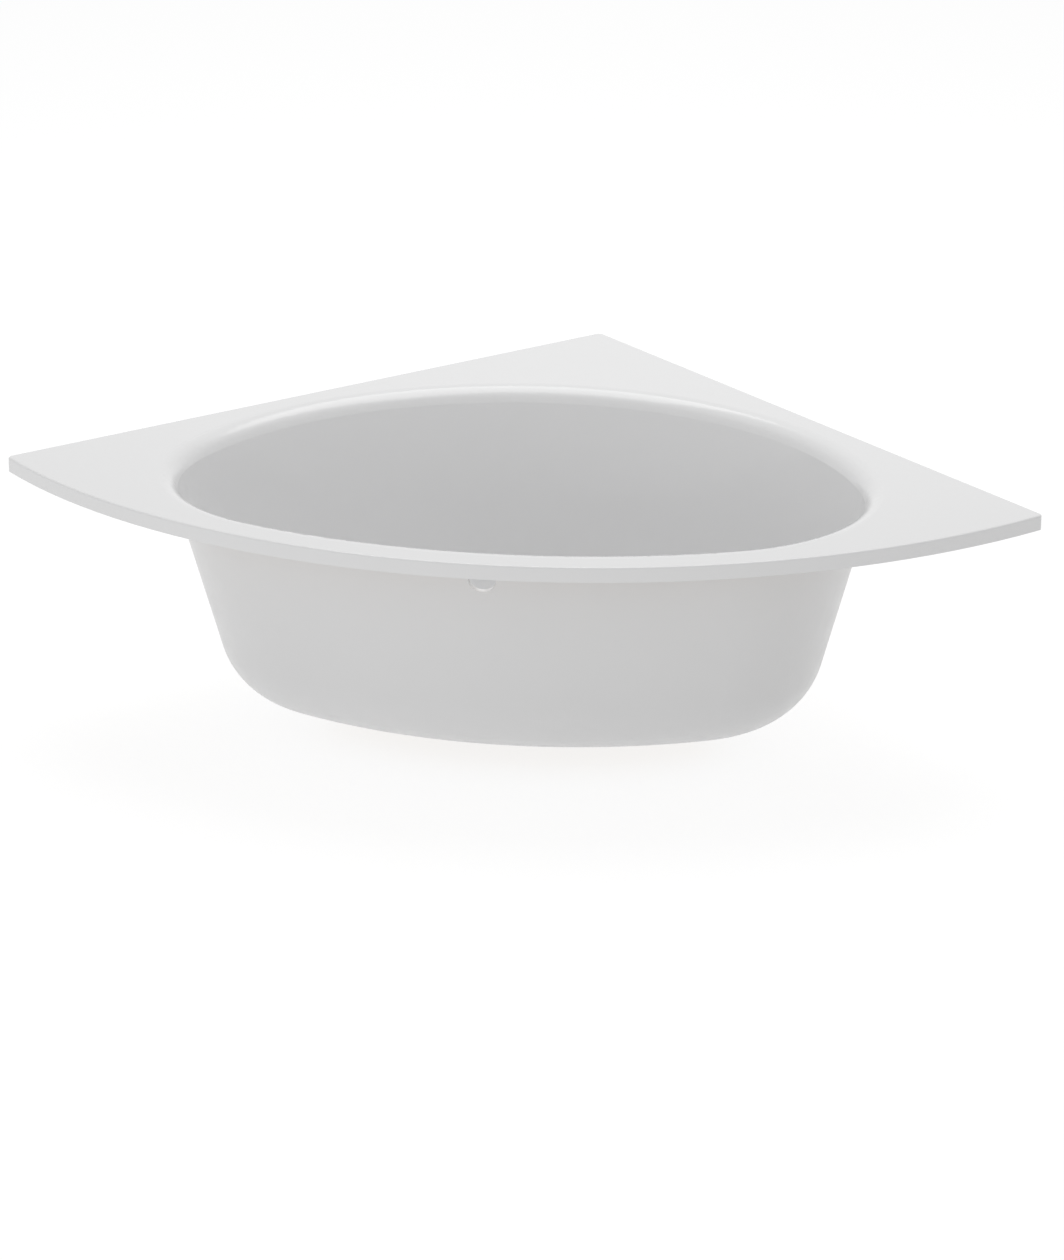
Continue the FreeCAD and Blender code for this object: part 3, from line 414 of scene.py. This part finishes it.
RUBBER = Finish("rubber", (0.020, 0.020, 0.020), (0.034, 0.033, 0.032),
                Pattern.PEBBLE, roughness=(0.60, 0.80))
TRAP_PLASTIC = Finish("trap_plastic", (0.74, 0.74, 0.73), (0.68, 0.68, 0.67),
                      Pattern.PEBBLE, roughness=(0.26, 0.40))


@dataclass
class Assembly:
    """Pieces that are built and dressed together."""

    nodes: dict[str, bpy.types.Object]
    made: list[str] = field(default_factory=list)

    def finish(self, names: Iterable[str], finish: Finish, turn: Axis = Axis.X) -> None:
        """Puts a finish on carried-over nodes.

        Args:
            names: The nodes' names.
            finish: The finish.
            turn: The direction of its pattern.
        """
        for name in names:
            slots = self.nodes[name].data.materials
            slots.clear()
            slots.append(finish.material(turn))
            self.made.append(name)

    def build(self) -> None:
        """Makes the assembly's own pieces, where it has any."""

    def dress(self) -> None:
        """Gives each piece its finish."""

    def report(self) -> None:
        """Logs each piece."""
        for name in self.made:
            log.info("%s: %s", type(self).__name__, name)


class BathBody(Assembly):
    """The moulded shell and the reinforcement on its outside."""

    def dress(self) -> None:
        """White acrylic inside and on the rim, smooth glass fibre outside, its tone darkened as
        painted shade.
        """
        self.finish(["bath_shell"], ACRYLIC)
        # the glass fibre's darker tone is painted shade on the bowl's outside
        self.finish(["bowl_reinforcement"], SHADED_GLASS_FIBRE)


class Woodwork(Assembly):
    """Board under the floor and timber under the rim."""

    def dress(self) -> None:
        """Chipboard for the boards, softwood with its grain along each batten."""
        self.finish(["base_board", "corner_board"], CHIPBOARD)
        self.finish(["wall_batten_left"], TIMBER, Axis.LEFT_WALL)
        self.finish(["wall_batten_right"], TIMBER, Axis.RIGHT_WALL)
        self.finish(["front_batten"], TIMBER)


@dataclass
class LegFrame(Assembly):
    """Steel rails and the four screwed feet."""

    pitch: float = 0.00175
    root_radius: float = 0.0051
    crest_radius: float = 0.006
    crest_share: float = 0.25
    turn_steps: int = 20
    join_distance: float = 0.000035    # points of two turns this near are one
    core_sink: float = 0.00005         # core's side below the thread's root
    core_sides: int = 32
    core_round: float = 0.0004
    core_round_faces: int = 2
    collar_sides: int = 6
    collar_radius: float = 0.0098
    collar_low: float = 0.014
    collar_height: float = 0.006
    collar_round: float = 0.0005
    collar_round_faces: int = 3
    smooth_below: float = math.radians(35)
    pads: tuple[str, ...] = ("front_left", "front_right", "back_left", "back_right")

    def build(self) -> None:
        """A spindle with a real thread, copied to each foot."""
        low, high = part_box("foot_spindle_" + self.pads[0])
        first = self._spindle(low.z, high.z)
        pieces = [first] + [fresh_copy(first) for _ in self.pads[1:]]
        for piece, foot in zip(pieces, self.pads):
            piece.name = piece.data.name = "threaded_spindle_" + foot
            low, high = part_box("foot_spindle_" + foot)
            middle = (low + high) / 2
            piece.location = (middle.x, middle.y, 0.0)
            settle(piece)
            piece.data.materials.append(BRIGHT_ZINC.material(Axis.Z))
            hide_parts("foot_spindle_" + foot)
            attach(piece, "foot_" + foot)
            self.made.append(piece.name)

    def _spindle(self, low: float, high: float) -> bpy.types.Object:
        """Turns one thread profile up round the axis and adds the collar.

        Args:
            low: Height of the spindle's lower end.
            high: Height of its upper end.

        Returns:
            The spindle, upright on the origin.
        """
        clear_selection()
        depth = self.crest_radius - self.root_radius
        half_way = (self.crest_radius + self.root_radius) / 2
        bpy.ops.mesh.primitive_plane_add(
            size=1.0, rotation=(math.pi / 2, 0.0, 0.0), location=(half_way, 0.0, self.pitch / 2))
        piece = bpy.context.active_object
        piece.scale = (depth, self.pitch, 1.0)
        bpy.ops.object.transform_apply(location=True, rotation=True, scale=True)
        select_edges(piece, lambda a, b: min(a.x, b.x) > half_way)
        bpy.ops.transform.resize(value=(1.0, 1.0, self.crest_share),
                                 center_override=(self.crest_radius, 0.0, self.pitch / 2))
        bpy.ops.object.mode_set(mode="OBJECT")
        select_edges(piece, lambda a, b: max(a.x, b.x) < half_way)
        bpy.ops.mesh.delete(type="EDGE_FACE")
        bpy.ops.object.mode_set(mode="OBJECT")
        turns = piece.modifiers.new("turns", "SCREW")
        turns.axis = "Z"
        turns.screw_offset = self.pitch
        turns.steps = turns.render_steps = self.turn_steps
        turns.iterations = int((high - low) / self.pitch) - 1
        turns.use_merge_vertices = True
        turns.merge_threshold = self.join_distance
        bpy.ops.object.modifier_apply(modifier="turns")
        top = max(v.co.z for v in piece.data.vertices)
        piece.location.z = low + (high - low - top) / 2
        settle(piece)
        close_ends(piece)

        core = self._core(low, high)
        collar = self._collar()
        clear_selection()
        for part in (core, collar, piece):
            part.select_set(True)
        bpy.context.view_layer.objects.active = piece
        bpy.ops.object.join()
        bpy.ops.object.shade_smooth_by_angle(angle=self.smooth_below)
        return piece

    def _core(self, low: float, high: float) -> bpy.types.Object:
        """Plain rod inside the thread, whose chamfered ends stand out of it.

        Args:
            low: Height of the rod's lower end.
            high: Height of its upper end.

        Returns:
            The rod.
        """
        bpy.ops.mesh.primitive_cylinder_add(
            vertices=self.core_sides, radius=self.root_radius - self.core_sink, depth=high - low,
            location=(0.0, 0.0, (low + high) / 2))
        rod = bpy.context.active_object
        settle(rod)
        rounded(rod, self.core_round, self.core_round_faces)
        return rod

    def _collar(self) -> bpy.types.Object:
        """Hexagon for a spanner, above the pad.

        Returns:
            The hexagon.
        """
        clear_selection()
        bpy.ops.mesh.primitive_cylinder_add(
            vertices=self.collar_sides, radius=self.collar_radius, depth=self.collar_height,
            rotation=(0.0, 0.0, math.pi / self.collar_sides),
            location=(0.0, 0.0, self.collar_low + self.collar_height / 2))
        collar = bpy.context.active_object
        settle(collar)
        rounded(collar, self.collar_round, self.collar_round_faces)
        return collar

    def dress(self) -> None:
        """Zinc for the rails and their fasteners, black plastic for the pads."""
        self.finish(["leg_rail_left", "leg_rail_right"], ZINC)
        self.finish(["rail_screws", "rail_nuts", "lock_nuts"], BRIGHT_ZINC, Axis.Z)
        self.finish(["foot_spindle_" + foot for foot in self.pads], BRIGHT_ZINC, Axis.Z)
        self.finish(["foot_pad_" + foot for foot in self.pads], BLACK_PLASTIC)


@dataclass
class Waste(Assembly):
    """Waste, push-open plug and the trap under the floor."""

    nut_ribs: int = 12
    nut_rib_radius: float = 0.0011
    nut_rib_place: float = 0.02785    # the nut's axis to a rib's own
    cap_ribs: int = 16
    cap_rib_radius: float = 0.0010
    cap_rib_place: float = 0.0159
    cap_inset: float = 0.0009         # room for the ribs inside the cap's outline
    outside_band: float = 0.0003
    rib_share: float = 0.8
    rib_sides: int = 14
    rib_round_share: float = 0.6
    rib_round_faces: int = 3
    smooth_below: float = math.radians(32)

    def build(self) -> None:
        """Grip ribs on the two parts of the trap that a hand tightens."""
        along_pipe, along_inlet = Vector((0.0, 1.0, 0.0)), Vector((1.0, 0.0, 0.0))
        self._grip("outlet_nut", "ribbed_outlet_nut", along_pipe, self.nut_ribs,
                   self.nut_rib_radius, self.nut_rib_place, inset=0.0)
        self._grip("overflow_inlet_cap", "ribbed_inlet_cap", along_inlet, self.cap_ribs,
                   self.cap_rib_radius, self.cap_rib_place, inset=self.cap_inset)

    def _grip(self, node: str, name: str, axis: Vector, ribs: int, radius: float, place: float,
              inset: float) -> None:
        """Copies a turned part, draws its outside in a little and sets ribs round it.

        Args:
            node: The part's node.
            name: Name of the ribbed part.
            axis: The direction of the part's axis.
            ribs: Number of ribs.
            radius: Radius of a rib.
            place: Distance from the part's axis to a rib's own.
            inset: How far the outside is drawn in.
        """
        low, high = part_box(node)
        middle = (low + high) / 2
        piece = merged_copy(self.nodes[node], name)
        spokes = [flat_part(point.co - middle, axis).length for point in piece.data.vertices]
        outer = max(spokes)
        if inset:
            select_points(piece, [spoke > outer - self.outside_band for spoke in spokes])
            share = (outer - inset) / outer
            bpy.ops.transform.resize(value=[1.0 if along else share for along in axis],
                                     center_override=middle)
            bpy.ops.object.mode_set(mode="OBJECT")
        clear_selection()
        side = Vector((0.0, 0.0, 1.0))
        length = (high - low).dot(axis)
        bpy.ops.mesh.primitive_cylinder_add(
            vertices=self.rib_sides, radius=radius, depth=length * self.rib_share,
            location=middle + side * place,
            rotation=axis.to_track_quat("Z", "Y").to_euler())
        first = bpy.context.active_object
        settle(first)
        rounded(first, radius * self.rib_round_share, self.rib_round_faces)
        parts = [first]
        for number in range(1, ribs):
            rib = fresh_copy(first)
            turn = Matrix.Rotation(2 * math.pi * number / ribs, 4, axis)
            rib.matrix_world = Matrix.Translation(middle) @ turn @ Matrix.Translation(-middle)
            parts.append(rib)
        clear_selection()
        for part in parts:
            part.select_set(True)
        piece.select_set(True)
        bpy.context.view_layer.objects.active = piece
        bpy.ops.object.join()
        settle(piece)
        bpy.ops.object.shade_smooth_by_angle(angle=self.smooth_below)
        piece.data.materials.append(TRAP_PLASTIC.material())
        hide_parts(node)
        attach(piece, "bath")
        self.made.append(name)

    def dress(self) -> None:
        """Chrome where a bather sees it, plastic, brass and rubber below."""
        self.finish(["waste_flange", "plug_cap"], CHROME)
        self.finish(["plug_stem"], BRASS, Axis.Z)
        self.finish(["plug_cartridge"], NATURAL_PLASTIC)
        self.finish(["flange_gasket", "trap_gasket", "plug_seal", "outlet_seal", "inlet_cap_seal"],
                    RUBBER)
        self.finish(["trap_body", "trap_dip_tube", "outlet_pipe", "outlet_nut",
                     "overflow_inlet_cap"], TRAP_PLASTIC)


def clear_selection() -> None:
    """Leaves nothing selected, in object mode."""
    if bpy.context.object is not None and bpy.context.object.mode != "OBJECT":
        bpy.ops.object.mode_set(mode="OBJECT")
    for thing in bpy.data.objects:
        thing.select_set(False)


def only(piece: bpy.types.Object) -> None:
    """Makes one object the only selected and the active one.

    Args:
        piece: The object.
    """
    clear_selection()
    piece.select_set(True)
    bpy.context.view_layer.objects.active = piece


def settle(piece: bpy.types.Object) -> None:
    """Moves a piece's place into its mesh, so that its object sits at the origin."""
    only(piece)
    bpy.ops.object.transform_apply(location=True, rotation=True, scale=True)


def select_edges(piece: bpy.types.Object, test: Callable[[Vector, Vector], bool]) -> None:
    """Enters edit mode with the edges selected whose two ends pass a test.

    Args:
        piece: The object to edit.
        test: Takes the places of an edge's ends and tells whether to select it.
    """
    only(piece)
    bpy.ops.object.mode_set(mode="EDIT")
    bpy.ops.mesh.select_mode(type="EDGE")
    bpy.ops.mesh.select_all(action="DESELECT")
    bpy.ops.object.mode_set(mode="OBJECT")
    points = piece.data.vertices
    for edge in piece.data.edges:
        edge.select = test(points[edge.vertices[0]].co, points[edge.vertices[1]].co)
    bpy.ops.object.mode_set(mode="EDIT")


def select_points(piece: bpy.types.Object, chosen: list[bool]) -> None:
    """Enters edit mode with some of a piece's points selected.

    Args:
        piece: The object to edit.
        chosen: For each point, whether it is selected.
    """
    only(piece)
    bpy.ops.object.mode_set(mode="EDIT")
    bpy.ops.mesh.select_mode(type="VERT")
    bpy.ops.mesh.select_all(action="DESELECT")
    bpy.ops.object.mode_set(mode="OBJECT")
    for point, choice in zip(piece.data.vertices, chosen):
        point.select = choice
    bpy.ops.object.mode_set(mode="EDIT")


def flat_part(spoke: Vector, axis: Vector) -> Vector:
    """The part of a vector that lies square to an axis."""
    return spoke - axis * spoke.dot(axis)


def fresh_copy(piece: bpy.types.Object) -> bpy.types.Object:
    """A copy of an object with a mesh of its own.

    Args:
        piece: The object to copy.

    Returns:
        The copy, in the same place.
    """
    copy = piece.copy()
    copy.data = piece.data.copy()
    bpy.context.scene.collection.objects.link(copy)
    return copy


def merged_copy(node: bpy.types.Object, name: str) -> bpy.types.Object:
    """A free copy of a carried-over node, with its loose triangles joined up.

    Args:
        node: The node to copy.
        name: The copy's name.

    Returns:
        The copy, with its place in its mesh.
    """
    piece = bpy.data.objects.new(name, node.data.copy())
    piece.data.name = name
    piece.data.materials.clear()
    bpy.context.scene.collection.objects.link(piece)
    piece.matrix_world = node.matrix_world.copy()
    settle(piece)
    bpy.ops.mesh.customdata_custom_splitnormals_clear()
    bpy.ops.object.mode_set(mode="EDIT")
    bpy.ops.mesh.select_all(action="SELECT")
    bpy.ops.mesh.remove_doubles(threshold=CAD_JOIN)
    bpy.ops.object.mode_set(mode="OBJECT")
    return piece


def close_ends(piece: bpy.types.Object) -> None:
    """Fills a tube's two open ends and points its faces outwards.

    Args:
        piece: The tube.
    """
    only(piece)
    bpy.ops.object.mode_set(mode="EDIT")
    bpy.ops.mesh.select_mode(type="EDGE")
    bpy.ops.mesh.select_all(action="SELECT")
    bpy.ops.mesh.remove_doubles(threshold=END_JOIN)
    bpy.ops.mesh.select_all(action="DESELECT")
    bpy.ops.mesh.select_non_manifold()
    bpy.ops.mesh.fill()
    bpy.ops.mesh.select_all(action="SELECT")
    bpy.ops.mesh.normals_make_consistent(inside=False)
    bpy.ops.object.mode_set(mode="OBJECT")


def rounded(piece: bpy.types.Object, width: float, segments: int) -> None:
    """Rounds a piece's sharp edges by an applied bevel.

    Args:
        piece: The object to round.
        width: Width of the rounding in metres.
        segments: Faces across the rounding.
    """
    only(piece)
    bevel = piece.modifiers.new("rounding", "BEVEL")
    bevel.width = width
    bevel.segments = segments
    bevel.limit_method = "ANGLE"
    bpy.ops.object.modifier_apply(modifier="rounding")


@dataclass
class Studio:
    """Pale floor, soft light and the camera at the photograph's angle."""

    ambient: float = 0.52
    white: float = 1.0
    floor_size: float = 60.0
    floor_place: Point = (0.0, 0.0, -0.0005)
    floor_tone: float = 0.95
    floor_strength: float = 1.12
    floor_glow: float = 0.75      # the glow's share in the floor where it is seen
    floor_bounce: float = 0.32    # the glow's share where it lights the bath
    key_power: float = 98.0
    key_size: tuple[float, float] = (4.0, 4.0)
    key_place: Point = (0.1, 1.2, 4.6)
    key_target: Point = (0.0, 0.0, 0.4)
    fill_power: float = 26.0
    fill_size: tuple[float, float] = (3.0, 1.2)
    fill_place: Point = (-2.4, -4.4, 0.9)
    fill_target: Point = (0.0, -0.6, 0.3)

    def build(self) -> None:
        """Sets up light, floor and camera."""
        scene = bpy.context.scene
        scene.view_settings.view_transform = "Standard"
        self._world()
        self._floor()
        self._lamp("overhead_light", self.key_place, self.key_size, self.key_power,
                   self.key_target)
        self._lamp("front_light", self.fill_place, self.fill_size, self.fill_power,
                   self.fill_target, mirrored=False)
        self._camera()

    def _seen(self, tree: bpy.types.NodeTree) -> Socket:
        """Tells rays that see a surface from those that light by it.

        Args:
            tree: The tree that asks.

        Returns:
            1 for rays from the camera, mirrors and glass, 0 for the others.
        """
        path = tree.nodes.new("ShaderNodeLightPath")
        total: Socket = path.outputs["Is Camera Ray"]
        for name in ("Is Glossy Ray", "Is Transmission Ray"):
            most = tree.nodes.new("ShaderNodeMath")
            most.operation = "MAXIMUM"
            tree.links.new(total, most.inputs[0])
            tree.links.new(path.outputs[name], most.inputs[1])
            total = most.outputs[0]
        return total

    def _world(self) -> None:
        """White where it is seen, an even dimmer white where it lights."""
        world = bpy.data.worlds.new("studio")
        bpy.context.scene.world = world
        world.use_nodes = True
        tree = world.node_tree
        tree.nodes.clear()
        mix = tree.nodes.new("ShaderNodeMixShader")
        tree.links.new(self._seen(tree), mix.inputs[0])
        for number, strength in ((1, self.ambient), (2, self.white)):
            glow = tree.nodes.new("ShaderNodeBackground")
            glow.inputs["Color"].default_value = (1.0, 1.0, 1.0, 1.0)
            glow.inputs["Strength"].default_value = strength
            tree.links.new(glow.outputs[0], mix.inputs[number])
        output = tree.nodes.new("ShaderNodeOutputWorld")
        tree.links.new(mix.outputs[0], output.inputs["Surface"])

    def _floor(self) -> None:
        """Pale floor that takes the bath's shadow and is white elsewhere."""
        clear_selection()
        bpy.ops.mesh.primitive_plane_add(size=self.floor_size, location=self.floor_place)
        floor = bpy.context.active_object
        floor.name = "studio_floor"
        material = bpy.data.materials.new("studio_floor")
        material.use_nodes = True
        tree = material.node_tree
        tree.nodes.clear()
        plain = tree.nodes.new("ShaderNodeBsdfDiffuse")
        plain.inputs["Color"].default_value = (*(self.floor_tone,) * 3, 1.0)
        glow = tree.nodes.new("ShaderNodeEmission")
        glow.inputs["Strength"].default_value = self.floor_strength
        share = tree.nodes.new("ShaderNodeMath")
        share.operation = "MULTIPLY_ADD"
        share.inputs[1].default_value = self.floor_glow - self.floor_bounce
        share.inputs[2].default_value = self.floor_bounce
        tree.links.new(self._seen(tree), share.inputs[0])
        mix = tree.nodes.new("ShaderNodeMixShader")
        tree.links.new(share.outputs[0], mix.inputs[0])
        tree.links.new(plain.outputs[0], mix.inputs[1])
        tree.links.new(glow.outputs[0], mix.inputs[2])
        output = tree.nodes.new("ShaderNodeOutputMaterial")
        tree.links.new(mix.outputs[0], output.inputs["Surface"])
        floor.data.materials.append(material)

    def _lamp(self, name: str, place: Point, size: tuple[float, float], power: float,
              target: Point, mirrored: bool = True) -> None:
        """A soft oblong lamp turned to a target, which the camera doesn't see.

        Args:
            name: The lamp's name.
            place: Where it hangs.
            size: Lengths of its sides in metres.
            power: Its power in watts.
            target: What it points at.
            mirrored: Whether glossy surfaces mirror it.
        """
        data = bpy.data.lights.new(name, "AREA")
        data.shape = "RECTANGLE"
        data.size, data.size_y = size
        data.energy = power
        lamp = bpy.data.objects.new(name, data)
        lamp.location = place
        lamp.rotation_euler = (Vector(target) - Vector(place)).to_track_quat("-Z", "Y").to_euler()
        lamp.visible_camera = False
        lamp.visible_glossy = mirrored
        bpy.context.scene.collection.objects.link(lamp)

    def _camera(self) -> None:
        """Camera fitted to the rim's outline in the photograph."""
        data = bpy.data.cameras.new("camera")
        data.lens = CAMERA_LENS
        data.sensor_width = CAMERA_SENSOR
        data.clip_start, data.clip_end = CAMERA_CLIP
        camera = bpy.data.objects.new("camera", data)
        camera.location = CAMERA_PLACE
        aim = Vector(CAMERA_TARGET) - Vector(CAMERA_PLACE)
        camera.rotation_euler = aim.to_track_quat("-Z", "Y").to_euler()
        bpy.context.scene.collection.objects.link(camera)
        bpy.context.scene.camera = camera


def main() -> None:
    """Loads the frame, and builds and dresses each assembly."""
    logging.basicConfig(level=logging.INFO, format="%(message)s")
    for thing in list(bpy.data.objects):
        bpy.data.objects.remove(thing)
    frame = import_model()
    Studio().build()
    for kind in (BathBody, Woodwork, LegFrame, Waste):
        assembly = kind(frame["nodes"])
        assembly.build()
        assembly.dress()
        assembly.report()


if __name__ == "__main__":
    main()
